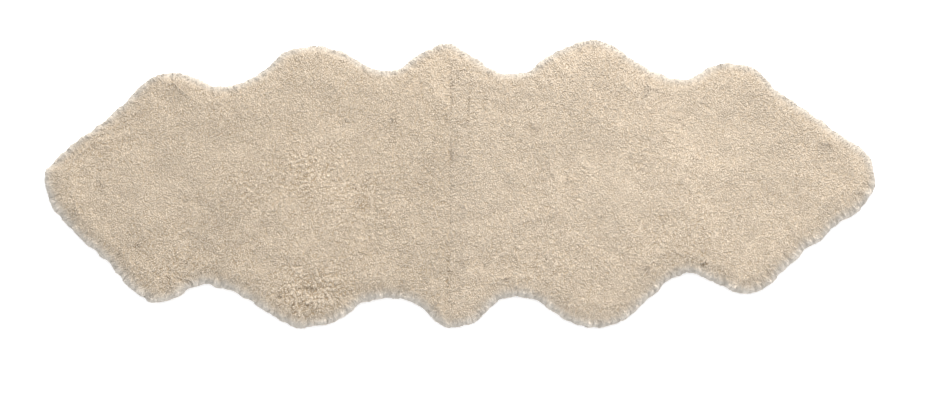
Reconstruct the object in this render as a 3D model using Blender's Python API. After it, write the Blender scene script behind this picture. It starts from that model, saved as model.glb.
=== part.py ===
"""Double sheepskin rug: two shorn sheepskins sewn end to end, laid flat with the wool up.

Each skin is one solid, its hide and its wool together: a lumpy slab with a flat
underside and locks of wool round its rim. Sizes are in metres where a name doesn't
say MM. +Z is up, +X runs from the left skin's neck to the right skin's neck, and the
origin is on the floor, under the middle of the rug's box.
"""

import math
import random

import bpy
from mathutils import Vector, noise
from mathutils.geometry import delaunay_2d_cdt, interpolate_bezier

MM = 0.001

# Settings of Blender's triangulation
INSIDE_ONLY = 1  # keep only the triangles inside the outline
MERGE_DISTANCE = 1e-6

# Driving sizes
PILE_TOP = 0.0262  # the wool's mean height over the floor, hide included
BULGE_HEIGHT = 0.010  # height at which the wool reaches furthest out
ROUNDING = 0.030  # width of the wool's rounded shoulder, from the rim inwards
SEAM_X = -0.021  # where the two skins are sewn together
SKIN_GAP = 0.0003  # between the two skins' sewn edges

# Rings of points up the rim's wall: how far each lies in from the rim curve, and the share of a
# lock's reach that shows there
HIDE_EDGE = (0.006, 0.3)
BULGE = (0.0, 1.0)
SHOULDER = (0.005, 0.7)

# Points on the top
CROWN_INSET = 0.016  # inset of the outermost row, one point for each lock
TOP_PITCH = 0.0165  # spacing of the grid
GRID_JITTER = 0.15  # how far a grid point strays, as a share of the pitch
GRID_CLEARANCE = 0.55  # least distance from a grid point to another row, as a share of the pitch
SEAM_ROWS = (0.008, 0.019)  # rows beside the seam, which give the dip its shape

# Locks of wool at the rim
LOCK_PITCH = 0.0152  # mean width of a lock, which makes 289 round the whole rug
LOCK_WIDTHS = (0.7, 1.3)  # narrowest and widest lock, as shares of the pitch
LOCK_POINTS = (0.0, 0.28, 0.72)  # across a lock: the notch before it and its end's two sides
LOCK_REACHES = (0.0003, 0.0025)  # least and most that a lock's end reaches past the rim curve
LOCK_SLANTS = (0.8, 1.2)  # reach of each side of a lock's end, as a share of the lock's
LOCK_NOTCHES = (0.0014, 0.0058)  # least and most depth of the notch between two locks
LOCK_RISE = 0.0018  # how far the locks' shoulders stand over or under the mean

# Soft relief of the top: broad lumps, small lumps, and the dip along the seam
BROAD_LUMP = 0.0030
BROAD_LUMP_SIZE = 0.090
SMALL_LUMP = 0.0044
SMALL_LUMP_SIZE = 0.036
SEAM_DIP = 0.0050
SEAM_DIP_WIDTH = 0.012

# The rim of each skin seen from above, from its seam end counter-clockwise round the
# neck to where the other skin's rim starts.
LEFT_RIM = (
    # landmark, x_mm, y_mm
    ("seam end, back", -21, 316),
    ("seam shoulder", -98, 287),
    ("waist start", -128, 261),
    ("waist hollow", -160, 252),
    ("haunch rise", -262, 298),
    ("haunch crest", -322, 312),
    ("haunch fall", -385, 296),
    ("flank fold", -446, 242),
    ("flank hollow", -520, 217),
    ("foreleg crest", -632, 250),
    ("foreleg end", -672, 243),
    ("shoulder notch", -706, 210),
    ("shoulder step", -775, 139),
    ("neck edge", -860, 70),
    ("neck tip", -902, 12),
    ("neck notch", -891, -32),
    ("neck edge", -838, -110),
    ("shoulder edge", -767, -170),
    ("foreleg crest", -648, -270),
    ("flank hollow", -540, -228),
    ("flank rise", -485, -246),
    ("haunch crest", -325, -325),
    ("haunch fall", -250, -301),
    ("haunch foot", -208, -269),
    ("waist end", -106, -266),
)
RIGHT_RIM = (
    # landmark, x_mm, y_mm
    ("seam end, front", -21, -324),
    ("seam shoulder", 42, -305),
    ("waist start", 78, -268),
    ("waist hollow", 122, -255),
    ("haunch foot", 172, -270),
    ("haunch rise", 240, -314),
    ("haunch crest", 292, -325),
    ("haunch fall", 342, -313),
    ("flank fold", 400, -264),
    ("flank hollow", 498, -204),
    ("foreleg rise", 538, -221),
    ("foreleg crest", 612, -249),
    ("foreleg end", 655, -240),
    ("shoulder notch", 692, -200),
    ("shoulder step", 722, -174),
    ("shoulder corner", 744, -149),
    ("neck step", 784, -129),
    ("neck corner", 804, -103),
    ("neck edge", 866, -61),
    ("neck tip", 902, 2),
    ("neck turn", 882, 66),
    ("neck notch", 848, 92),
    ("shoulder edge", 726, 186),
    ("shoulder notch", 682, 219),
    ("foreleg end", 660, 252),
    ("foreleg crest", 618, 269),
    ("foreleg rise", 552, 265),
    ("flank turn", 522, 244),
    ("flank hollow", 480, 234),
    ("flank fold", 432, 248),
    ("haunch crest", 290, 326),
    ("haunch foot", 190, 285),
    ("waist start", 148, 252),
    ("waist hollow", 108, 246),
    ("seam shoulder", 5, 302),
)
RIM_CURVE_STEPS = 12  # points on the rim curve between two landmarks

# Places where the wool lies lower (depth over 0) or stands fuller (under 0).
HOLLOWS = (
    # place, x_mm, y_mm, radius_mm, depth_mm
    ("left foreleg, back", -632, 175, 45, 2.0),
    ("left neck, front", -815, -70, 40, 1.8),
    ("left foreleg, front", -730, -135, 35, 2.0),
    ("left back, middle", -535, -100, 55, 2.2),
    ("left haunch, front", -350, -245, 50, 2.0),
    ("left loin", -400, 60, 60, -1.8),
    ("left rump, front", -135, -225, 40, 1.8),
    ("left rump, middle", -150, 10, 70, -1.2),
    ("parting beside the seam", 16, 190, 24, 1.8),
    ("right rump, front", 60, -170, 45, 1.6),
    ("right haunch, back", 290, 280, 35, 1.8),
    ("right loin", 300, -20, 70, -1.4),
    ("right foreleg, front", 520, -165, 40, 2.2),
    ("right shoulder", 520, 60, 55, -1.6),
    ("right neck", 760, 40, 50, 1.4),
)

LEFT_WOOL_COLOUR = (0.60, 0.50, 0.38, 1.0)
RIGHT_WOOL_COLOUR = (0.67, 0.57, 0.44, 1.0)
WOOL_ROUGHNESS = 0.95


def remove_objects():
    """Empties the scene."""
    for obj in list(bpy.data.objects):
        bpy.data.objects.remove(obj, do_unlink=True)


def wool_material(name, colour):
    """Matt wool."""
    material = bpy.data.materials.new(name)
    material.use_nodes = True
    shader = material.node_tree.nodes["Principled BSDF"]
    shader.inputs["Base Color"].default_value = colour
    shader.inputs["Roughness"].default_value = WOOL_ROUGHNESS
    shader.inputs["Metallic"].default_value = 0.0
    material.diffuse_color = colour
    return material


def heading(before, mark, after):
    """The rim curve's direction at a landmark: the nearer neighbour counts for more."""
    arriving = mark - before
    leaving = after - mark
    share = arriving.length / (arriving.length + leaving.length)
    return arriving.normalized().lerp(leaving.normalized(), share).normalized()


def rim_curve(rows):
    """The smooth closed curve through the landmarks: a list of points from each to the next."""
    marks = [Vector((x * MM, y * MM)) for _, x, y in rows]
    count = len(marks)
    headings = [heading(marks[i - 1], marks[i], marks[(i + 1) % count]) for i in range(count)]
    stretches = []
    for i, mark in enumerate(marks):
        following = marks[(i + 1) % count]
        reach = (following - mark).length / 3
        leave = mark + headings[i] * reach
        arrive = following - headings[(i + 1) % count] * reach
        stretches.append(interpolate_bezier(mark, leave, arrive, following, RIM_CURVE_STEPS + 1)[:-1])
    return stretches


def along(points, shares):
    """The points at these shares of an open line's length, given in rising order."""
    travelled = [0.0]
    for a, b in zip(points, points[1:]):
        travelled.append(travelled[-1] + (b - a).length)
    placed = []
    stretch = 0
    for share in shares:
        target = travelled[-1] * share
        while stretch < len(points) - 2 and travelled[stretch + 1] < target:
            stretch += 1
        part = (target - travelled[stretch]) / (travelled[stretch + 1] - travelled[stretch])
        placed.append(points[stretch].lerp(points[stretch + 1], part))
    return placed


def outward(points):
    """The outward normal at each point of an open counter-clockwise line. At its two ends, which
    lie on the seam, it runs along the seam."""
    normals = []
    for before, after in zip(points, points[2:]):
        step = after - before
        normals.append(Vector((step.y, -step.x)).normalized())
    ends = [Vector((0, math.copysign(1, point.y))) for point in (points[0], points[-1])]
    return [ends[0], *normals, ends[1]]


def lock_rows(count, rng):
    """A row for each point of a rim with this many locks: its share of the rim's length, how far it
    reaches out, and how much its shoulder stands higher or lower."""
    widths = [rng.uniform(*LOCK_WIDTHS) for _ in range(count)]
    rows = []
    start = 0.0
    for width in widths:
        notch, *end = LOCK_POINTS
        length = rng.uniform(*LOCK_REACHES)
        rise = rng.uniform(-1, 1) * LOCK_RISE
        rows.append((start + notch * width, -rng.uniform(*LOCK_NOTCHES), rise - LOCK_RISE))
        for place in end:
            rows.append((start + place * width, length * rng.uniform(*LOCK_SLANTS), rise))
        start += width
    rows = [(place / start, reach, rise) for place, reach, rise in rows]
    return [(0.0, 0.0, 0.0), *rows[1:], (1.0, 0.0, 0.0)]


def rounding(from_rim):
    """The wool's shoulder in section: 0 at the rim, 1 where the top is level."""
    share = min(max(from_rim / ROUNDING, 0.0), 1.0)
    return math.sqrt(1 - (1 - share) ** 2)


def relief(point):
    """Height of the top's lumps, hollows and seam dip over or under the mean."""
    height = BROAD_LUMP * noise.noise(Vector((*point, 0)) / BROAD_LUMP_SIZE)
    height += SMALL_LUMP * noise.noise(Vector((*point, 1)) / SMALL_LUMP_SIZE)
    height -= SEAM_DIP * math.exp(-(((point.x - SEAM_X) / SEAM_DIP_WIDTH) ** 2))
    for _, x, y, radius, depth in HOLLOWS:
        away = (point - Vector((x * MM, y * MM))).length / (radius * MM)
        height -= depth * MM * math.exp(-away * away)
    return height


def top_height(point, from_rim):
    """Height of the wool's top over the floor."""
    return BULGE_HEIGHT + rounding(from_rim) * (PILE_TOP - BULGE_HEIGHT + relief(point))


def ring(rim, normals, rows, place):
    """A closed ring of points in the rim's wall, back along the seam at the grid's spacing."""
    inset, share = place
    points = [
        point - normal * (inset - share * row[1]) for point, normal, row in zip(rim, normals, rows)
    ]
    last = points[-1]
    seam = points[0] - last
    count = round((rim[0] - rim[-1]).length / TOP_PITCH)
    return points + [last + seam * i / count for i in range(1, count)]


def inside(point, loop):
    """Whether the point lies inside the closed loop."""
    crossings = 0
    for a, b in zip(loop, loop[1:] + loop[:1]):
        if (a.y > point.y) != (b.y > point.y):
            crossings += point.x < a.x + (point.y - a.y) * (b.x - a.x) / (b.y - a.y)
    return crossings % 2 == 1


def nearest(point, points):
    """Distance from the point to the nearest of the points."""
    return min((point - other).length for other in points)


def seam_side_points(rim):
    """Rows of points beside the seam."""
    side = math.copysign(1, rim[len(rim) // 2].x - SEAM_X)
    low, high = sorted((rim[0].y, rim[-1].y))
    found = []
    for offset in SEAM_ROWS:
        y = low + CROWN_INSET + offset
        while y < high - CROWN_INSET - offset:
            found.append(Vector((SEAM_X + side * offset, y)))
            y += TOP_PITCH
    return found


def grid_points(rim, outline, taken, rng):
    """Points in a loose triangular grid on the level part of the top, clear of those taken."""
    row_pitch = TOP_PITCH * math.sqrt(0.75)
    left = min(point.x for point in outline)
    low = min(point.y for point in outline)
    columns = math.ceil((max(point.x for point in outline) - left) / TOP_PITCH)
    rows = math.ceil((max(point.y for point in outline) - low) / row_pitch)
    clearance = GRID_CLEARANCE * TOP_PITCH
    found = []
    for row in range(rows):
        for column in range(columns):
            place = Vector((left + (column + 0.5 * (row % 2)) * TOP_PITCH, low + row * row_pitch))
            stray = Vector((rng.uniform(-1, 1), rng.uniform(-1, 1))) * GRID_JITTER * TOP_PITCH
            point = place + stray
            if not inside(point, outline) or nearest(point, rim) < CROWN_INSET + clearance:
                continue
            if nearest(point, taken) > clearance:
                found.append(point)
    return found


def walls(rings):
    """Faces of the wall between each ring of points and the next one up."""
    size = len(rings[0])
    faces = []
    for level in range(len(rings) - 1):
        for i in range(size):
            near = level * size + i
            far = level * size + (i + 1) % size
            faces.append((near, far, far + size, near + size))
    return faces


def lifted(points, height):
    """The flat points at a height over the floor."""
    return [Vector((*point, height)) for point in points]


def shoulder_ring(shoulder, rows):
    """The shoulder's points at their heights: a lock's own on the rim, the dip's along the seam."""
    heights = [top_height(point, SHOULDER[0]) + row[2] for point, row in zip(shoulder, rows)]
    heights += [top_height(point, ROUNDING) for point in shoulder[len(rows) :]]
    return [Vector((*point, height)) for point, height in zip(shoulder, heights)]


def skin_mesh(name, rim, rows, rng):
    """One skin as a closed mesh: flat underside, wall of locks, rounded shoulder and lumpy top."""
    normals = outward(rim)
    hide_edge, bulge, shoulder = (
        ring(rim, normals, rows, place) for place in (HIDE_EDGE, BULGE, SHOULDER)
    )
    size = len(shoulder)
    vertices = lifted(hide_edge, 0.0) + lifted(bulge, BULGE_HEIGHT) + shoulder_ring(shoulder, rows)
    faces = [tuple(reversed(range(size)))] + walls((hide_edge, bulge, shoulder))

    crown = [point - normal * CROWN_INSET for point, normal in zip(rim, normals)]
    crown = crown[1 : -1 : len(LOCK_POINTS)]
    beside_seam = seam_side_points(rim)
    inner = crown + beside_seam + grid_points(rim, shoulder, beside_seam, rng)
    placed, _, triangles, origins, _, _ = delaunay_2d_cdt(
        shoulder + inner, [], [list(range(size))], INSIDE_ONLY, MERGE_DISTANCE
    )
    index = []
    for point, origin in zip(placed, origins):
        if origin[0] < size:
            index.append(2 * size + origin[0])
            continue
        index.append(len(vertices))
        vertices.append(Vector((*point, top_height(point, nearest(point, rim)))))
    faces += [tuple(index[i] for i in triangle) for triangle in triangles]

    mesh = bpy.data.meshes.new(name)
    mesh.from_pydata(vertices, [], faces)
    mesh.shade_smooth()
    mesh.polygons[0].use_smooth = False
    return mesh


def add_skin(name, stretches, edge_x, seed, material):
    """Adds the skin whose rim follows these stretches of the rim curve, sewn at edge_x."""
    points = [point for stretch in stretches for point in stretch]
    length = sum((b - a).length for a, b in zip(points, points[1:]))
    rng = random.Random(seed)
    rows = lock_rows(round(length / LOCK_PITCH), rng)
    rim = along(points, [row[0] for row in rows])
    rim[0].x = rim[-1].x = edge_x
    mesh = skin_mesh(name, rim, rows, rng)
    mesh.materials.append(material)
    bpy.context.scene.collection.objects.link(bpy.data.objects.new(name, mesh))


def main():
    remove_objects()
    curve = rim_curve(LEFT_RIM + RIGHT_RIM)
    left = curve[: len(LEFT_RIM)] + [curve[len(LEFT_RIM)][:1]]
    right = curve[len(LEFT_RIM) :] + [curve[0][:1]]
    left_wool = wool_material("wool_left", LEFT_WOOL_COLOUR)
    right_wool = wool_material("wool_right", RIGHT_WOOL_COLOUR)
    add_skin("skin_left", left, edge_x=SEAM_X - SKIN_GAP / 2, seed=5, material=left_wool)
    add_skin("skin_right", right, edge_x=SEAM_X + SKIN_GAP / 2, seed=6, material=right_wool)


main()
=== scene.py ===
"""Looks of the double sheepskin rug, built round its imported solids.

Each skin's solid is replaced by its wool: a matted undercoat, and the short tufts and finer
curls that grow out of it and gather in knobs where it curls most. Under the wool lies the
hide, suede side down, and thread sews the two hides together. Sizes are in metres where a
name doesn't say MM, in the frame of the part.
"""

import itertools
import math

import bmesh
import bpy
import numpy as np
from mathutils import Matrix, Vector, kdtree, noise


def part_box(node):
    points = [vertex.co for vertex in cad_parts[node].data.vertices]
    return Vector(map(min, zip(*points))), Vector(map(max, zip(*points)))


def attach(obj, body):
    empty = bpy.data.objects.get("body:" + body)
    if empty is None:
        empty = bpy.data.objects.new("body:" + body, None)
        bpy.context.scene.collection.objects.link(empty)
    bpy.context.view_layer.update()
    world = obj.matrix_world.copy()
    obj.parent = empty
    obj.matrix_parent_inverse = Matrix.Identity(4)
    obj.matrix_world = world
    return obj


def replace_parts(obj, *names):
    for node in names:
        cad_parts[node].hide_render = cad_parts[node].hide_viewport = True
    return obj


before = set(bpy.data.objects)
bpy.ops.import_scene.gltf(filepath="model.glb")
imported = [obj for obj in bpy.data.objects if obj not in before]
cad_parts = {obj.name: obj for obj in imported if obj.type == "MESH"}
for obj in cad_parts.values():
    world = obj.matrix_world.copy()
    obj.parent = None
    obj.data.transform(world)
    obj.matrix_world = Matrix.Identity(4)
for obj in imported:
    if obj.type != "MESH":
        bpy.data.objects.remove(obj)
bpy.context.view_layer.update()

SWIRL_SEED = 1  # Blender's vector noise, which gives the swirls, otherwise takes one from the clock
noise.seed_set(SWIRL_SEED)

MM = 0.001
WELD = 1e-5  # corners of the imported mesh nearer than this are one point
LEVEL = 0.0001  # heights that differ by less than this are the same
SEWN = 0.001  # points this near to the seam's plane lie on a skin's sewn edge
FLOOR_GAP = 0.0004  # no wool reaches lower than this
SEAM_X = (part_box("skin_left")[1].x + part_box("skin_right")[0].x) / 2
SMOOTH_LEVEL = 0.0015  # points this close in height are neighbours along the rim
SMOOTH_ROUNDS = 7  # in which the rim's locks are evened out
RIM_HEIGHT = 0.010  # the solids reach furthest out at this height

# Camera and light
AIM = Vector((0.0216, -0.042, 0.014))
CAMERA_ELEVATION = math.radians(74)
CAMERA_DISTANCE = 5.5
CAMERA_LENS_MM = 97.36
FLOOR_SIZE = 14.0
FLOOR_COLOUR = (0.93, 0.93, 0.93, 1.0)
FLOOR_GLOW = 0.35  # the floor is a lit sheet, so that shadows on it stay faint
SKY_COLOUR = (0.93, 0.96, 1.0, 1.0)
SKY_STRENGTH = 0.96
LAMP_PLACE = (1.7, 4.1, 4.6)
LAMP_SIZE = 3.0
LAMP_WATTS = 410
LAMP_COLOUR = (1.0, 0.95, 0.88)

# Wool: short tufts stand close together, and finer curls lie over them. Lengths are in
# millimetres and angles in degrees. Pairs are the least and the most, but proud is how far a
# crest stands over the fleece and how much that varies, and a ring is its place as a share of
# the length, with its thickness as a share of the radius.
WOOL = (
    {
        "kind": "tufts",
        "spacing": 3.15,
        "radius": (0.8, 1.2),
        "breadth": 1.5,
        "length": (5.0, 7.5),
        "turn": (10, 110),
        "proud": (-0.2, 0.35),
        "rings": ((0.0, 0.8), (0.5, 1.0)),
    },
    {
        "kind": "curls",
        "spacing": 6.6,
        "radius": (0.6, 0.9),
        "breadth": 1.3,
        "length": (7.0, 11.0),
        "turn": (60, 240),
        "proud": (0.1, 0.35),
        "rings": ((0.0, 0.75), (0.35, 1.0), (0.70, 0.8)),
    },
)
ROOT_TRIES = 12  # places tried for each root that is likely to be kept
PROUD_LIMITS = (-2.0, 1.5)  # lowest and highest crest, as multiples of how much crests vary
SIDES = 3  # of a tuft or curl: its ridge and two edges
SIDE_WIDTH = 1.7  # of each of them, as a share of the radius
SOFTNESS = 0.85  # of the shading: 0 shades each tuft as a lone shape
PITCH = math.radians(112)  # how far a tip has tipped over from upright
PITCH_CURVE = 0.7  # under 1, it tips over more near its root
PAINTED_SHADE_DEPTH = 0.0042  # the wool's colour deepens over this depth, as painted shade
FLOW_SIZES = ((0.075, 0.8), (0.020, 0.9))  # swirls in which the wool leans: size, strength
SPREAD = math.radians(38)  # how far a single lean strays from the swirl
RIM_LEAN = (0.055, 1.5)  # wool this near to the rim leans outwards, and how strongly
SEAM_LEAN = (0.080, 1.4)  # wool this near to the seam lies along it, and how strongly
ACROSS_LEAN = 0.5  # how strongly it lies across the rug everywhere
RIM_PALE = 0.0108  # wool within this distance of the rim is paler
RIM_SWELL = 0.0018  # how far it stands over the solid there
RIM_WAVES = (0.018, 0.0045)  # size and height of the lumps in which it does so
RIM_LONGER = 0.45  # share by which it is longer there
RIM_STRAIGHTER = 0.7  # share of its turn that it has lost there
RIM_THINNER = 0.35  # share of its thickness that it has lost there
RIM_ORDER = 0.7  # share of its spread that it has lost there
KNOB_SIZE = 0.008  # the wool gathers in knobs of about this size
KNOB_DEPTH = 0.0021  # of the gaps between them, where the wool curls most
KNOB_CREST = 0.5  # share of that depth by which their middles stand over the fleece
KNOB_GAP = 0.28  # a gap's width as a share of a knob's size
KNOB_GAP_SHADE = 0.22  # painted shade: how much darker the wool in a gap is there
KNOB_LIGHT = 0.6  # share of that by which their middles are lighter than the fleece: painted light
KNOB_ROUND = 0.9  # how far wool stands away from its knob's middle
KNOB_CURL = 1.6  # how strongly it leans round it
BAKE_MAP = "OFBake"  # the UV map on which each tuft and curl has a cell of its own
ROOT_CELL = ((0.95, 0.02), (0.5, 0.10), (0.05, 0.02))  # where its root's corners lie in the cell
SIDES_CELL = ((0.02, 0.12), (0.98, 0.98))  # corners of the part that its sides fill there

# Wool's colour and fibres
LEFT_COLOURS = ((0.43, 0.33, 0.22), (0.66, 0.556, 0.438), (0.79, 0.69, 0.565))  # root to tip: the darker colours deep in the wool are painted shade
RIGHT_COLOURS = ((0.45, 0.35, 0.24), (0.68, 0.575, 0.457), (0.82, 0.72, 0.594))
MIDDLE = 0.55  # height of the middle colour, as a share of the wool's
PALE = (0.685, 0.625, 0.55)  # colour of the wool's sides, which show at the rim
WOOL_SHADER = {
    "Sheen Weight": 0.25,
    "Sheen Roughness": 0.55,
    "Sheen Tint": (1.0, 0.95, 0.88, 1.0),
    "Specular IOR Level": 0.25,
}
PATCHES = (11.0, 0.03)  # scale and strength of soft lighter patches
CRIMP_MM = 2.6  # wool fibres bend to and fro once in this length
WAVES_A_UNIT = math.pi / 10  # scale at which Blender's wave texture repeats once in a unit
CRIMP = {
    "Scale": WAVES_A_UNIT / CRIMP_MM,
    "Distortion": 4.0,
    "Detail": 1.0,
    "Detail Scale": 1.5,
}
CRIMP_WEIGHT = 0.5  # beside the fibres' weight of 1
SWIRL_WEIGHT = 0.6  # of the undercoat's swirls, beside its grain's weight of 1
FIBRES = (2.2, 0.35, 1.0)  # fibres' pattern: how often it changes in 1 mm across and along
FIBRES_APART_MM = 500  # places on the pattern are picked from this range
STRANDS_MEAN = 0.75  # value of the fibres' and swirls' patterns that leaves the colour as it is; below it is painted shade, above it painted light

# The skins
SKINS = (
    # node, seed, pieces of its wool from left to right, colours
    ("skin_left", 11, ("neck", "back", "rump"), LEFT_COLOURS),
    ("skin_right", 12, ("rump", "back", "neck"), RIGHT_COLOURS),
)

# Undercoat
UNDERCOAT_CUTS = 3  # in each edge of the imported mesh
UNDERCOAT_DEPTH = 0.0030  # how far it lies under the solid's surface
UNDERCOAT_RIM_DEPTH = 0.0014  # and at the rim
UNDERCOAT_LUMPS = (0.0036, 0.0009)  # their size and height
SHARP = math.radians(75)  # where its faces meet at more than this, they have a sharp edge

# Hide and its seam
HIDE_THICKNESS = 0.0012
HIDE_LIFT = 0.0006  # over what the rug lies on
SUEDE_COLOURS = ((0.35, (0.50, 0.39, 0.27)), (0.85, (0.68, 0.57, 0.43)))  # place, colour
NAP_WEIGHT = 0.25  # beside the suede's clouds
STITCH_PITCH = 0.0045
STITCH_REACH = 0.0030  # to each side of the seam
STITCH_SLANT = 0.6  # as a share of the pitch
STITCH_BEND = 0.0008  # a stitch dives into the hide over this length
STITCH_DIVE = 0.0006
THREAD_RADIUS = 0.00045
THREAD_SIDES = 6
THREAD_COLOURS = ((0.3, (0.52, 0.42, 0.30)), (0.7, (0.70, 0.61, 0.47)))  # place, colour

# How much the wool curls, from 0 to 1
CURL_MEAN = 0.45
CURL_DRIFT = (0.05, 0.12)  # it changes over this size, by about this much
CURL_SPREAD = 0.15  # and by about this much from one tuft to the next

# Where the wool curls more (over 0) or lies smoother (under 0).
CURLINESS = (
    # place, x_mm, y_mm, radius_mm, change
    ("left haunch, front", -330, -266, 70, 0.48),
    ("left haunch, front, right", -281, -228, 60, 0.30),
    ("left loin", -345, 15, 75, 0.45),
    ("left loin, front", -466, -46, 50, 0.20),
    ("left foreleg, front", -620, -190, 90, 0.30),
    ("left neck, back", -781, 90, 60, 0.25),
    ("left rump", -205, -45, 80, 0.35),
    ("right haunch, front", 185, -170, 110, 0.20),
    ("right foreleg, front", 500, -148, 90, 0.25),
    ("right foreleg, back", 555, 135, 90, -0.25),
    ("left foreleg, middle", -651, -35, 80, -0.20),
    ("right rump", 44, -12, 70, -0.20),
    ("right loin", 348, -24, 60, -0.15),
)

# The wool's brightness
TONE_MEAN = 0.90
TONE_SPREAD = 0.06  # it changes by about this much from one tuft to the next
TONE_STRENGTH = 0.24  # of the changes in the table

# Where the wool is lighter (over 0) or darker (under 0).
TONES = (
    # place, x_mm, y_mm, radius_mm, change
    ("left back", -525, -110, 75, -0.42),
    ("left foreleg, back", -629, 191, 55, -0.08),
    ("left haunch, front", -347, -262, 60, 0.05),
    ("left rump, front", -43, -182, 55, -0.25),
    ("left waist, front", -140, -239, 50, -0.10),
    ("left neck", -820, 10, 90, 0.08),
    ("left foreleg", -620, 80, 80, -0.15),
    ("left shoulder, front", -727, -144, 60, -0.12),
    ("right foreleg, front", 522, -190, 50, -0.10),
    ("right foreleg, middle", 570, -110, 80, 0.18),
    ("left rump, middle", -216, -70, 60, 0.12),
    ("both rumps, middle", 10, 0, 110, -0.10),
    ("left foreleg, middle", -520, 30, 60, 0.12),
    ("left loin", -321, 37, 70, 0.22),
    ("left rump, back", -260, -12, 50, 0.18),
    ("right loin", 240, -12, 80, 0.18),
    ("right loin, front", 348, -58, 60, 0.15),
    ("right shoulder", 500, 50, 90, 0.30),
    ("right haunch, back", 294, 293, 60, 0.18),
    ("right loin, back", 392, 160, 75, 0.26),
    ("both rumps, back", -64, 262, 60, 0.50),
    ("left loin, back", -368, 258, 60, 0.12),
    ("right haunch, back, left", 225, 262, 50, 0.25),
    ("right neck, back", 690, 170, 70, -0.15),
    ("right shoulder, front", 696, -137, 50, 0.20),
    ("right rump, back", 240, 105, 50, -0.20),
    ("left rump, beside the seam", -64, 10, 75, -0.18),
    ("left foreleg, back, right", -520, 108, 45, -0.22),
)

# Short partings between the curls, where painted shade darkens the wool.
PARTINGS = (
    # place, from_x_mm, from_y_mm, to_x_mm, to_y_mm, width_mm, strength
    ("left haunch, front", -356, -240, -298, -243, 2.6, 0.9),
    ("left haunch, knee", -343, -262, -312, -290, 2.2, 0.6),
    ("left haunch, knee, outer", -362, -287, -345, -264, 2.2, 0.6),
    ("left shoulder, front", -706, -146, -684, -148, 2.2, 0.9),
    ("left shoulder, rim", -736, -162, -722, -168, 2.2, 0.9),
    ("beside the seam, back", 17, 95, 20, 235, 1.6, 0.45),
    ("the seam, back", -19, 172, -19, 196, 1.8, 0.45),
    ("the seam, back, left", -30, 124, -31, 160, 1.8, 0.4),
    ("the seam, middle", -21, 22, -21, 88, 1.8, 0.3),
    ("the seam, front", -25, -262, -24, -158, 1.8, 0.55),
    ("right foreleg, front", 515, -196, 528, -186, 2.2, 0.9),
)
PARTING_DEPTH = 0.0022
PARTING_SHADE = 0.45  # painted shade: how much darker the wool in a parting is
PARTING_WAVE = (0.009, 2.0)  # a parting wanders over this length, by this many of its widths


# Materials


def new_material(name, roughness):
    """A material, its node tree's nodes and links, and its shader."""
    material = bpy.data.materials.new(name)
    material.use_nodes = True
    nodes, links = material.node_tree.nodes, material.node_tree.links
    shader = nodes["Principled BSDF"]
    shader.inputs["Roughness"].default_value = roughness
    return material, nodes, links, shader


def set_inputs(node, values):
    """Gives the node's sockets these values."""
    for name, value in values.items():
        node.inputs[name].default_value = value


def noise_of(nodes, links, scale, detail=2.0, distortion=0.0, vector=None):
    """The output of a noise that varies over the rug's own coordinates, or over this vector."""
    texture = nodes.new("ShaderNodeTexNoise")
    set_inputs(texture, {"Scale": scale, "Detail": detail, "Distortion": distortion})
    if vector is None:
        vector = nodes.new("ShaderNodeTexCoord").outputs["Object"]
    links.new(vector, texture.inputs["Vector"])
    return texture.outputs["Fac"]


def attribute_of(nodes, name, output):
    """The output of a node that reads the mesh's attribute."""
    node = nodes.new("ShaderNodeAttribute")
    node.attribute_name = name
    return node.outputs[output]


def ramp_of(nodes, links, value, stops):
    """The colour that the stops, (place, colour) rows, give for the value. A new ramp has two
    stops, one at each end, which take the first two rows."""
    ramp = nodes.new("ShaderNodeValToRGB")
    ramp.color_ramp.interpolation = "EASE"
    elements = ramp.color_ramp.elements
    for i, (place, colour) in enumerate(stops):
        stop = elements[i] if i < len(elements) else elements.new(place)
        stop.position = place
        stop.color = (*colour, 1.0)
    links.new(value, ramp.inputs["Fac"])
    return ramp.outputs["Color"]


def math_of(nodes, links, operation, *values):
    """The output of a Math node on these outputs or numbers."""
    node = nodes.new("ShaderNodeMath")
    node.operation = operation
    for value, socket in zip(values, node.inputs):
        if isinstance(value, (int, float)):
            socket.default_value = value
        else:
            links.new(value, socket)
    return node.outputs["Value"]


def scaled_of(nodes, links, colour, factor):
    """The colour times a number."""
    node = nodes.new("ShaderNodeVectorMath")
    node.operation = "SCALE"
    links.new(colour, node.inputs["Vector"])
    links.new(factor, node.inputs["Scale"])
    return node.outputs["Vector"]


def bumped(nodes, links, shader, height, distance, strength):
    """Gives the shader a bump of this height."""
    bump = nodes.new("ShaderNodeBump")
    set_inputs(bump, {"Distance": distance, "Strength": strength})
    links.new(height, bump.inputs["Height"])
    links.new(bump.outputs["Normal"], shader.inputs["Normal"])


def depth_shaded_colour(nodes, links, colours):
    """The wool's colour at its depth, from its colours at root, middle and tip: the darker colours
    deep down are painted shade.
    """
    root, middle, tip = colours
    lift = attribute_of(nodes, "lift", "Fac")
    return ramp_of(nodes, links, lift, ((0.0, root), (1.0, tip), (MIDDLE, middle)))


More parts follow.
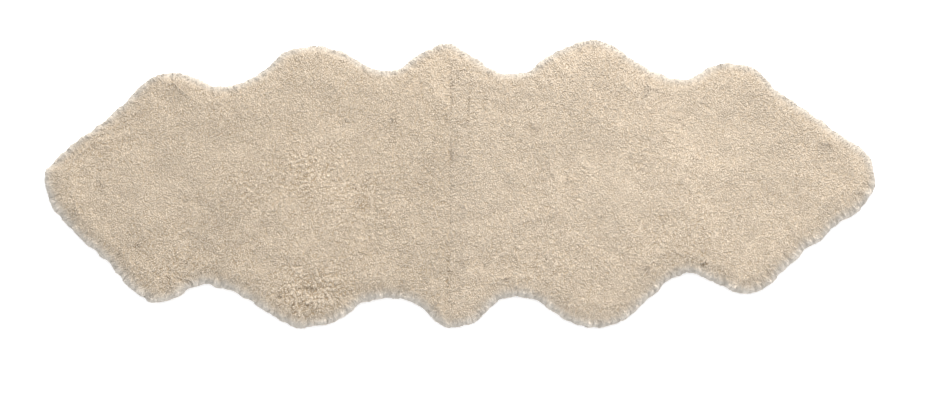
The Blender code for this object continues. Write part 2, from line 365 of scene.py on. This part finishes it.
def finish_wool(nodes, links, shader, colour, strands, groove_shade):
    """Gives wool its colour, paler at the rim, in patches, and with painted shade in the grooves
    where a strand is low, painted light where it is high.
    """
    set_inputs(shader, WOOL_SHADER)
    mix = nodes.new("ShaderNodeMix")
    mix.data_type = "RGBA"
    links.new(attribute_of(nodes, "rim", "Fac"), mix.inputs["Factor"])
    links.new(colour, mix.inputs["A"])
    mix.inputs["B"].default_value = (*PALE, 1.0)
    scale, strength = PATCHES
    patches = noise_of(nodes, links, scale)
    tone_and_shade = attribute_of(nodes, "tone_and_shade", "Fac")
    patched = math_of(nodes, links, "MULTIPLY_ADD", patches, strength, tone_and_shade)
    rest = 1 - STRANDS_MEAN * groove_shade
    # the strands' pattern darkens the colour in its grooves and lightens it on its highs: painted
    # shade and light
    brightness = math_of(nodes, links, "MULTIPLY_ADD", strands, groove_shade, rest)
    factor = math_of(nodes, links, "MULTIPLY", brightness, patched)
    links.new(scaled_of(nodes, links, mix.outputs["Result"], factor), shader.inputs["Base Color"])
    bumped(nodes, links, shader, strands, distance=0.0005, strength=0.8)


def wool_material(name, colours):
    """Wool in crimped fibres, with painted shade: brownish between the curls and light at their
    crests.
    """
    material, nodes, links, shader = new_material(name, roughness=0.88)
    colour = depth_shaded_colour(nodes, links, colours)
    strand = attribute_of(nodes, "strand", "Vector")
    stretched = nodes.new("ShaderNodeVectorMath")
    stretched.operation = "MULTIPLY"
    stretched.inputs[1].default_value = FIBRES
    links.new(strand, stretched.inputs[0])
    fibres = noise_of(nodes, links, scale=1.0, vector=stretched.outputs["Vector"])
    crimp = nodes.new("ShaderNodeTexWave")
    crimp.bands_direction = "Y"
    set_inputs(crimp, CRIMP)
    links.new(strand, crimp.inputs["Vector"])
    strands = math_of(nodes, links, "MULTIPLY_ADD", crimp.outputs["Fac"], CRIMP_WEIGHT, fibres)
    finish_wool(nodes, links, shader, colour, strands, groove_shade=0.25)
    return material


def undercoat_material(name, colours):
    """Matted wool between the tufts: swirls of fine fibres."""
    material, nodes, links, shader = new_material(name, roughness=0.95)
    colour = depth_shaded_colour(nodes, links, colours)
    swirls = noise_of(nodes, links, scale=330.0, detail=3.0, distortion=1.8)
    grain = noise_of(nodes, links, scale=900.0)
    strands = math_of(nodes, links, "MULTIPLY_ADD", swirls, SWIRL_WEIGHT, grain)
    finish_wool(nodes, links, shader, colour, strands, groove_shade=0.45)
    return material


def suede_material(name):
    """The hide's flesh side: pale suede, clouded, with a short nap."""
    material, nodes, links, shader = new_material(name, roughness=0.92)
    shader.inputs["Sheen Weight"].default_value = 0.2
    clouds = noise_of(nodes, links, scale=9.0, detail=5.0)
    nap = noise_of(nodes, links, scale=1400.0)
    mixed = math_of(nodes, links, "MULTIPLY_ADD", nap, NAP_WEIGHT, clouds)
    links.new(ramp_of(nodes, links, mixed, SUEDE_COLOURS), shader.inputs["Base Color"])
    bumped(nodes, links, shader, nap, distance=0.0003, strength=0.5)
    return material


def thread_material(name):
    """Waxed sewing thread, twisted."""
    material, nodes, links, shader = new_material(name, roughness=0.6)
    twist = noise_of(nodes, links, scale=2500.0, detail=1.0)
    links.new(ramp_of(nodes, links, twist, THREAD_COLOURS), shader.inputs["Base Color"])
    bumped(nodes, links, shader, twist, distance=0.0001, strength=0.5)
    return material


# Reading the solids


def welded(node):
    """The node's mesh with its corners joined and its rim evened out, as a bmesh."""
    mesh = bmesh.new()
    mesh.from_mesh(node.data)
    bmesh.ops.remove_doubles(mesh, verts=mesh.verts, dist=WELD)
    smooth_rim(mesh)
    return mesh


def lies_flat(face):
    """Whether the face is part of the flat underside."""
    return all(vert.co.z < LEVEL for vert in face.verts)


def bounds_underside(edge):
    """Whether the edge parts the flat underside from what rises round it."""
    return sum(lies_flat(face) for face in edge.link_faces) == 1


def runs_level(edge, vert):
    """Whether the edge leads from the point to one at its height, or round the underside."""
    if vert.co.z < SMOOTH_LEVEL:
        return bounds_underside(edge)
    return abs(edge.other_vert(vert).co.z - vert.co.z) < SMOOTH_LEVEL


def smooth_rim(mesh):
    """Evens out the locks along the rim, whose place the wool's own tufts take: each point
    moves towards its neighbours at its own height."""
    for _ in range(SMOOTH_ROUNDS):
        moves = []
        for vert in mesh.verts:
            edges = [edge for edge in vert.link_edges if runs_level(edge, vert)]
            level = [edge.other_vert(vert).co.xy for edge in edges]
            if len(level) > 1 and not at_seam(vert.co):
                moves.append((vert, (vert.co.xy + sum(level, Vector((0, 0))) / len(level)) / 2))
        for vert, place in moves:
            vert.co.xy = place
    mesh.normal_update()


def at_seam(point):
    """Whether the point lies on the sewn edge of a skin."""
    return abs(point.x - SEAM_X) < SEWN


def grows_wool(face):
    """Whether wool grows from the face: from all but the flat underside and the sewn edge."""
    return not lies_flat(face) and not all(at_seam(vert.co) for vert in face.verts)


def wool_side(mesh):
    """The corners of the faces that wool grows from."""
    return np.array([[vert.index for vert in face.verts] for face in mesh.faces if grows_wool(face)])


def points_and_normals(mesh):
    """The mesh's points and their normals, which lie in the sewn edge's plane on that edge."""
    points = np.array([vert.co for vert in mesh.verts])
    normals = np.array([vert.normal for vert in mesh.verts])
    sewn = np.abs(points[:, 0] - SEAM_X) < SEWN
    normals[sewn, 0] = 0
    return points, unit(normals)


def unit(vectors):
    """The vectors at length 1."""
    return vectors / np.maximum(np.linalg.norm(vectors, axis=-1, keepdims=True), 1e-12)


def rim_tree(points):
    """A search tree of the rim's points, where the solid reaches furthest out."""
    rim = [p for p in points if abs(p[2] - RIM_HEIGHT) < LEVEL and abs(p[0] - SEAM_X) > SEWN]
    tree = kdtree.KDTree(len(rim))
    for i, point in enumerate(rim):
        tree.insert((point[0], point[1], 0), i)
    tree.balance()
    return tree


# Placing the wool


def scattered(points, normals, faces, spacing, rng):
    """Roots spread evenly over the faces: their places and normals."""
    corners = points[faces]
    spans = np.cross(corners[:, 1] - corners[:, 0], corners[:, 2] - corners[:, 0])
    areas = np.linalg.norm(spans, axis=1) / 2
    count = int(ROOT_TRIES * areas.sum() / spacing**2)
    face = rng.choice(len(faces), count, p=areas / areas.sum())
    weights = rng.dirichlet((1, 1, 1), count)
    places = (corners[face] * weights[:, :, None]).sum(1)
    leaning = (normals[faces[face]] * weights[:, :, None]).sum(1)
    kept = apart(places, spacing)
    return places[kept], unit(leaning[kept])


def apart(places, spacing):
    """Indices of the places that keep this distance from each other, taken in order."""
    kept = []
    cells = {}
    steps = list(itertools.product((-1, 0, 1), repeat=3))
    for i, place in enumerate(places.tolist()):
        x, y, z = (int(value // spacing) for value in place)
        near = (cells.get((x + a, y + b, z + c), ()) for a, b, c in steps)
        if all(math.dist(place, other) > spacing for found in near for other in found):
            cells.setdefault((x, y, z), []).append(place)
            kept.append(i)
    return np.array(kept)


def noise_at(places, size):
    """Smooth noise from about -1 to 1, which changes over this size."""
    return np.array([noise.noise(Vector(place) / size) for place in places])


def curliness_at(places):
    """How much the wool curls, from 0 to 1."""
    size, change = CURL_DRIFT
    return (CURL_MEAN + spots(places, CURLINESS) + change * noise_at(places, size)).clip(0, 1)


def knobs(places):
    """How near each place is to a gap between two knobs of wool, from 0 to 1, and its offset
    from the middle of its own knob, as a share of their size."""
    gaps, offsets = [], []
    for place in places:
        spot = Vector(place) / KNOB_SIZE
        (nearest, second, _, _), (middle, _, _, _) = noise.voronoi(spot)
        gaps.append(second - nearest)
        offsets.append(spot - middle)
    return np.exp(-((np.array(gaps) / KNOB_GAP) ** 2)), np.array(offsets)


def swell(places, gaps, curly, side):
    """How far the wool stands over the solid's surface: gaps and partings lie deeper."""
    size, height = RIM_WAVES
    rim = side * (RIM_SWELL + height * noise_at(places, size))
    return rim + KNOB_DEPTH * curly**2 * (KNOB_CREST - gaps) - PARTING_DEPTH * parted(places)


def tone_and_shade_at(places, gaps, curly):
    """The wool's brightness: its own tone from place to place, with painted shade in the knobs' gaps
    and in the partings, and painted light on the knobs' middles.
    """
    # painted shade in the gaps between knobs, painted light on their middles
    knob = KNOB_GAP_SHADE * curly**2 * (KNOB_LIGHT - gaps)
    return TONE_MEAN + TONE_STRENGTH * spots(places, TONES) - PARTING_SHADE * parted(places) + knob


def rim_nearness(places, tree):
    """From 1 at the rim to 0 away from it."""
    away = np.array([tree.find((x, y, 0))[2] for x, y, _ in places])
    return np.exp(-((away / RIM_PALE) ** 2))


def spots(places, table):
    """The sum of the table's soft round spots at each place."""
    total = np.zeros(len(places))
    for _, x, y, radius, change in table:
        away = np.hypot(places[:, 0] - x * MM, places[:, 1] - y * MM) / (radius * MM)
        total += change * np.exp(-away * away)
    return total


def parted(places):
    """How near each place is to a parting: 1 on its line, 0 away from it."""
    near = np.zeros(len(places))
    wave, widths = PARTING_WAVE
    wander = widths * noise_at(places, wave)
    for _, from_x, from_y, to_x, to_y, width, strength in PARTINGS:
        start = np.array((from_x, from_y)) * MM
        run = np.array((to_x, to_y)) * MM - start
        share = np.clip((places[:, :2] - start) @ run / (run @ run), 0, 1)
        away = np.linalg.norm(places[:, :2] - start - share[:, None] * run, axis=1) / (width * MM)
        depth = strength * np.exp(-((away - wander) ** 2)) * np.sin(math.pi * share)
        near = np.maximum(near, depth)
    return near


def leans(places, normals, tree, side, round_knob, rng):
    """The direction along the surface in which each tuft or curl leans."""
    flow = np.zeros((len(places), 3))
    for size, strength in FLOW_SIZES:
        flow += strength * np.array([noise.noise_vector(Vector(p) / size) for p in places])
    flow[:, 2] = 0
    flow = unit(flow) + round_knob
    width, strength = SEAM_LEAN
    across = ACROSS_LEAN + strength * np.exp(-((places[:, 0] - SEAM_X) / width) ** 2)
    flow[:, 1] += across * np.where(np.arange(len(places)) % 2, 1, -1)
    width, strength = RIM_LEAN
    for i, place in enumerate(places):
        foot, _, away = tree.find((place[0], place[1], 0))
        push = max(0.0, 1 - away / width)
        outward = np.array((foot.x - place[0], foot.y - place[1], 0)) / max(away, MM)
        down = (0, 0, push * (1 - normals[i][2]))
        flow[i] = (1 - push) * flow[i] + strength * push * outward - down
    flow = unit(flow - (flow * normals).sum(1)[:, None] * normals)
    stray = (rng.normal(0, SPREAD, len(places)) * (1 - RIM_ORDER * side))[:, None]
    return flow * np.cos(stray) + np.cross(normals, flow) * np.sin(stray)


# Making the wool


def wool_paths(normals, lean, turn, length, shares):
    """The centreline of each tuft or curl at its rings and its tip. It rises, tips over and
    turns sideways."""
    side = np.cross(normals, lean)
    path = [np.zeros_like(lean)]
    for before, after in itertools.pairwise(shares):
        middle = (before + after) / 2
        pitch = PITCH * middle**PITCH_CURVE
        yaw = (turn * middle)[:, None]
        level = lean * np.cos(yaw) + side * np.sin(yaw)
        step = normals * math.cos(pitch) + level * math.sin(pitch)
        path.append(path[-1] + step * (length * (after - before))[:, None])
    return np.stack(path, axis=1)


def settled(path, places, normals, crest):
    """The paths moved so that the visible end of each lies over its place, its top at this
    height over the surface."""
    height = (path * normals[:, None]).sum(2)
    level = path - height[:, :, None] * normals[:, None]
    path = path - level[:, -2:].mean(1)[:, None]
    return path + (places + normals * (crest - height.max(1))[:, None])[:, None]


def wool_points(path, normals, sizes, breadth):
    """The points of each tuft or curl: rings round its path, ridge first, then its tip. sizes
    has a column of radii for each ring."""
    rows = []
    for ring, run in enumerate(np.moveaxis(unit(np.diff(path, axis=1)), 1, 0)):
        across = unit(np.cross(normals, run))
        ridge = np.cross(run, across)
        for k in range(SIDES):
            angle = 2 * math.pi * k / SIDES
            out = ridge * math.cos(angle) - across * (breadth * math.sin(angle))
            rows.append(path[:, ring] + out * sizes[:, ring, None])
    rows.append(path[:, -1])
    return np.stack(rows, axis=1)


def tube_faces(sides, rings):
    """Faces of one tube: its root, its sides, and the cone at its tip, whose point comes last."""
    tip = sides * rings
    faces = [tuple(reversed(range(sides)))]
    for ring in range(rings - 1):
        for k in range(sides):
            near, far = ring * sides + k, ring * sides + (k + 1) % sides
            faces.append((near, far, far + sides, near + sides))
    for k in range(sides):
        faces.append((tip - sides + k, tip - sides + (k + 1) % sides, tip))
    return faces


def tube_cells(rings):
    """Places of a tuft's or curl's face corners in its cell of the UV map, laid out flat."""
    (left, low), (right, high) = SIDES_CELL
    across = np.linspace(left, right, SIDES + 1)
    along = np.linspace(low, high, rings + 1)
    places = list(ROOT_CELL)
    for near, far in itertools.pairwise(along[:-1]):
        for start, end in itertools.pairwise(across):
            places += [(start, near), (end, near), (end, far), (start, far)]
    for start, end in itertools.pairwise(across):
        places += [(start, along[-2]), (end, along[-2]), ((start + end) / 2, along[-1])]
    return np.array(places)


def repeated_mesh(name, points, faces):
    """One mesh of many like shapes: points is (shapes, points of a shape, 3)."""
    count, size, _ = points.shape
    corners = np.concatenate([np.array(face) for face in faces])
    starts = np.cumsum([0] + [len(face) for face in faces[:-1]])
    order = np.arange(count)[:, None]
    mesh = bpy.data.meshes.new(name)
    mesh.vertices.add(count * size)
    mesh.vertices.foreach_set("co", points.astype(np.float32).ravel())
    mesh.loops.add(count * len(corners))
    mesh.loops.foreach_set("vertex_index", (order * size + corners).astype(np.int32).ravel())
    mesh.polygons.add(count * len(faces))
    mesh.polygons.foreach_set("loop_start", (order * len(corners) + starts).astype(np.int32).ravel())
    mesh.update(calc_edges=True)
    mesh.validate()
    mesh.shade_smooth()
    return mesh


def soften(mesh, up):
    """Turns the points' normals towards the direction in which the wool stands, so that a tuft
    is shaded as part of the fleece."""
    normals = np.empty(len(mesh.vertices) * 3, np.float32)
    mesh.vertex_normals.foreach_get("vector", normals)
    softened = unit(normals.reshape(-1, 3) + SOFTNESS * up.reshape(-1, 3))
    mesh.normals_split_custom_set_from_vertices(softened)


def add_attribute(mesh, name, values):
    """A number, or three, for each point of the mesh. values is (shapes, points) or one longer."""
    kind, field = ("FLOAT", "value") if values.ndim == 2 else ("FLOAT_VECTOR", "vector")
    attribute = mesh.attributes.new(name, kind, "POINT")
    attribute.data.foreach_set(field, values.astype(np.float32).ravel())


def add_bake_map(mesh, count, cells):
    """A UV map on which each of the mesh's shapes has a cell of its own."""
    columns = math.ceil(math.sqrt(count))
    order = np.arange(count)
    corner = np.stack((order % columns, order // columns), axis=1)
    layer = mesh.uv_layers.new(name=BAKE_MAP)
    layer.uv.foreach_set("vector", ((corner[:, None] + cells) / columns).astype(np.float32).ravel())


def strand_places(width, length, shares, rng):
    """Coordinates in millimetres for the fibres' pattern: across the tuft or curl from its
    ridge, along it, and one of its own."""
    count = len(width)
    places = np.zeros((count, SIDES * (len(shares) - 1) + 1, 3))
    for k, side in enumerate((0, 1, -1)):
        places[:, k:-1:SIDES, 0] = side * width[:, None] / MM
    along = np.append(np.repeat(shares[:-1], SIDES), 1.0)
    own = rng.uniform(0, FIBRES_APART_MM, count)[:, None]
    places[:, :, 1] = along * length[:, None] / MM + own
    places[:, :, 2] = own
    return places


def add_object(name, mesh, material):
    """A piece of the rug."""
    mesh.materials.append(material)
    obj = bpy.data.objects.new(name, mesh)
    bpy.context.scene.collection.objects.link(obj)
    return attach(obj, "root")


def wool_of_kind(kind, surface, rng):
    """The tufts or the curls of one skin: their places, the way up there, their points, and the
    values of their attributes at each point."""
    points, normals, faces, tree = surface
    places, up = scattered(points, normals, faces, kind["spacing"] * MM, rng)
    count = len(places)
    curly = curliness_at(places)
    curliness = (curly + rng.normal(0, CURL_SPREAD, count)).clip(0, 1)
    side = rim_nearness(places, tree)
    gaps, offsets = knobs(places)
    offsets *= (curly * (1 - side))[:, None]
    round_knob = KNOB_CURL * np.cross(up, offsets)
    up = unit(up + KNOB_ROUND * (offsets - (offsets * up).sum(1)[:, None] * up))
    radius = rng.uniform(*kind["radius"], count) * MM * (1 - RIM_THINNER * side)
    length = rng.uniform(*kind["length"], count) * MM * (1 + RIM_LONGER * side)
    least, most = kind["turn"]
    turn = np.radians(least + (most - least) * curliness) * rng.choice((-1, 1), count)
    turn *= 1 - RIM_STRAIGHTER * side
    proud, vary = kind["proud"]
    lowest, highest = (proud + vary * limit for limit in PROUD_LIMITS)
    crest = rng.normal(proud, vary, count).clip(lowest, highest) * MM
    crest += swell(places, gaps, curly, side) - radius
    shares = [share for share, _ in kind["rings"]] + [1.0]
    sizes = radius[:, None] * [thickness for _, thickness in kind["rings"]]
    path = wool_paths(up, leans(places, up, tree, side, round_knob, rng), turn, length, shares)
    shapes = wool_points(settled(path, places, up, crest), up, sizes, kind["breadth"])
    height = ((shapes - places[:, None]) * up[:, None]).sum(2)
    shapes[:, :, 2] = np.maximum(shapes[:, :, 2], FLOOR_GAP)
    tone_and_shade = tone_and_shade_at(places, gaps, curly) + rng.normal(0, TONE_SPREAD, count)
    width = SIDE_WIDTH * radius * kind["breadth"]
    size = shapes.shape[1]
    return {
        "place": places,
        "up": np.repeat(up[:, None], size, axis=1),
        "shape": shapes,
        # lift: how high each point stands in the wool, which sets its painted shade
        "lift": (1 + height / PAINTED_SHADE_DEPTH).clip(0, 1),
        "tone_and_shade": np.repeat(tone_and_shade[:, None], size, axis=1),
        "rim": np.repeat(side[:, None], size, axis=1),
        "strand": strand_places(width, length, shares, rng),
    }


def add_wool(names, node, mesh, material, rng):
    """The skin's tufts and curls: a piece of each for each name, from left to right."""
    slot = node.replace("skin", "wool")
    points, normals = points_and_normals(mesh)
    surface = points, normals, wool_side(mesh), rim_tree(points)
    pieces = []
    for kind in WOOL:
        wool = wool_of_kind(kind, surface, rng)
        faces = tube_faces(SIDES, len(kind["rings"]))
        cells = tube_cells(len(kind["rings"]))
        order = np.argsort(wool["place"][:, 0])
        for name, part in zip(names, np.array_split(order, len(names))):
            piece = repeated_mesh(name, wool["shape"][part], faces)
            for key in ("lift", "tone_and_shade", "rim", "strand"):
                add_attribute(piece, key, wool[key][part])
            add_bake_map(piece, len(part), cells)
            soften(piece, wool["up"][part])
            obj = add_object(f"{slot}_{name}_{kind['kind']}", piece, material)
            pieces.append(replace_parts(obj, node))
    return pieces


# Undercoat, hide and seam


def add_undercoat(name, mesh, material):
    """The matted wool under the tufts: the solid's own surface, a little smaller and lumpy."""
    coat = mesh.copy()
    woolly = {edge for face in coat.faces if grows_wool(face) for edge in face.edges}
    bmesh.ops.subdivide_edges(coat, edges=list(woolly), cuts=UNDERCOAT_CUTS, use_grid_fill=True)
    bmesh.ops.triangulate(coat, faces=coat.faces)
    coat.normal_update()
    places, normals = points_and_normals(coat)
    side = rim_nearness(places, rim_tree(points_and_normals(mesh)[0]))
    size, height = UNDERCOAT_LUMPS
    depth = UNDERCOAT_DEPTH + (UNDERCOAT_RIM_DEPTH - UNDERCOAT_DEPTH) * side
    gaps, _ = knobs(places)
    curly = curliness_at(places)
    rise = swell(places, gaps, curly, side) + height * noise_at(places, size) - depth
    moved = places + normals * rise[:, None]
    moved[:, 2] = np.maximum(moved[:, 2], HIDE_LIFT + HIDE_THICKNESS + LEVEL)
    sewn = np.abs(places[:, 0] - SEAM_X) < SEWN
    moved[sewn, 0] = SEAM_X
    for vert, place in zip(coat.verts, moved):
        vert.co = place
    made = bpy.data.meshes.new(name)
    coat.to_mesh(made)
    coat.free()
    made.shade_smooth()
    made.set_sharp_from_angle(angle=SHARP)
    add_attribute(made, "rim", side[:, None])
    add_attribute(made, "tone_and_shade", tone_and_shade_at(places, gaps, curly)[:, None])
    # lift sets the undercoat's painted shade by its depth
    add_attribute(made, "lift", (1 + rise / PAINTED_SHADE_DEPTH).clip(0, 1)[:, None])
    return add_object(name, made, material)


def underside_loop(mesh):
    """The points round the solid's flat underside, in order."""
    edges = [edge for edge in mesh.edges if bounds_underside(edge)]
    links = {}
    for edge in edges:
        for vert in edge.verts:
            links.setdefault(vert, []).append(edge.other_vert(vert))
    loop = list(edges[0].verts)
    while len(loop) < len(edges):
        loop.append(next(vert for vert in links[loop[-1]] if vert is not loop[-2]))
    return [vert.co.copy() for vert in loop]


def add_hide(name, mesh, material):
    """The hide as a thin sheet, flesh side down, and its area."""
    sheet = bmesh.new()
    face = sheet.faces.new([sheet.verts.new((p.x, p.y, HIDE_LIFT)) for p in underside_loop(mesh)])
    if face.normal.z > 0:
        face.normal_flip()
    area = face.calc_area()
    made = bmesh.ops.extrude_face_region(sheet, geom=[face])
    for vert in (v for v in made["geom"] if isinstance(v, bmesh.types.BMVert)):
        vert.co.z += HIDE_THICKNESS
    bmesh.ops.recalc_face_normals(sheet, faces=sheet.faces)
    bmesh.ops.triangulate(sheet, faces=sheet.faces)
    data = bpy.data.meshes.new(name)
    sheet.to_mesh(data)
    sheet.free()
    return add_object(name, data, material), area


def stitch_points(y):
    """The points of a slanted stitch across the seam, whose ends dive into the hide: rings
    round its path, then its tip."""
    dive = np.array((0, 0, STITCH_DIVE))
    start = np.array((SEAM_X - STITCH_REACH, y, THREAD_RADIUS)) + dive
    end = np.array((SEAM_X + STITCH_REACH, y + STITCH_SLANT * STITCH_PITCH, THREAD_RADIUS)) + dive
    run = unit(end - start)
    bend = STITCH_BEND * run
    across = unit(np.cross(run, (0, 0, 1)))
    up = np.cross(across, run)
    points = []
    for spot in (start, start + bend - dive, end - bend - dive, end):
        for k in range(THREAD_SIDES):
            angle = 2 * math.pi * k / THREAD_SIDES
            points.append(spot + THREAD_RADIUS * (across * math.cos(angle) + up * math.sin(angle)))
    return [*points, end + run * THREAD_RADIUS]


def add_thread(loop, material):
    """Stitches along the seam, on the suede side."""
    seam = [point.y for point in loop if at_seam(point)]
    low, high = min(seam) + STITCH_PITCH, max(seam) - STITCH_PITCH
    count = int((high - low) / STITCH_PITCH)
    stitches = np.array([stitch_points(low + i * STITCH_PITCH) for i in range(count)])
    rings = stitches.shape[1] // THREAD_SIDES
    mesh = repeated_mesh("seam_thread", stitches, tube_faces(THREAD_SIDES, rings))
    return add_object("seam_thread", mesh, material)


# Scene


def add_floor():
    """A plain pale floor."""
    bpy.ops.mesh.primitive_plane_add(size=FLOOR_SIZE)
    floor = bpy.context.object
    floor.name = "floor"
    material, _, _, shader = new_material("floor", roughness=0.9)
    shader.inputs["Base Color"].default_value = FLOOR_COLOUR
    shader.inputs["Emission Color"].default_value = FLOOR_COLOUR
    shader.inputs["Emission Strength"].default_value = FLOOR_GLOW
    floor.data.materials.append(material)


def add_sky():
    """Even light from all round."""
    world = bpy.data.worlds.new("studio")
    world.use_nodes = True
    background = world.node_tree.nodes["Background"]
    background.inputs["Color"].default_value = SKY_COLOUR
    background.inputs["Strength"].default_value = SKY_STRENGTH
    bpy.context.scene.world = world


def add_lamp():
    """A large soft lamp behind the rug and to its right, which faces it."""
    lamp = bpy.data.lights.new("key", "AREA")
    lamp.size = LAMP_SIZE
    lamp.energy = LAMP_WATTS
    lamp.color = LAMP_COLOUR
    holder = bpy.data.objects.new("key", lamp)
    holder.location = LAMP_PLACE
    holder.rotation_euler = (-holder.location).to_track_quat("-Z", "Y").to_euler()
    bpy.context.scene.collection.objects.link(holder)


def add_camera():
    """A camera that looks down on the rug from in front of it, from far off."""
    back = Vector((0, -math.cos(CAMERA_ELEVATION), math.sin(CAMERA_ELEVATION)))
    camera = bpy.data.cameras.new("camera")
    camera.lens = CAMERA_LENS_MM
    holder = bpy.data.objects.new("camera", camera)
    holder.location = AIM + back * CAMERA_DISTANCE
    holder.rotation_euler = (-back).to_track_quat("-Z", "Y").to_euler()
    bpy.context.scene.collection.objects.link(holder)
    bpy.context.scene.camera = holder


def add_skin(node, seed, names, colours, suede):
    """Puts a skin's wool and hide in its solid's place. Returns the points round its underside."""
    slot = node.replace("skin", "wool")
    mesh = welded(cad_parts[node])
    material = wool_material(slot, colours)
    wool = add_wool(names, node, mesh, material, np.random.default_rng(seed))
    name = slot + "_undercoat"
    coat = add_undercoat(name, mesh, undercoat_material(name, colours))
    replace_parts(coat, node)
    hide, area = add_hide(node.replace("skin", "hide"), mesh, suede)
    loop = underside_loop(mesh)
    mesh.free()
    return loop


def main():
    bpy.context.scene.view_settings.view_transform = "Standard"
    add_floor()
    add_sky()
    add_lamp()
    add_camera()
    suede = suede_material("suede")
    undersides = []
    for skin in SKINS:
        undersides += add_skin(*skin, suede)
    add_thread(undersides, thread_material("thread"))


main()
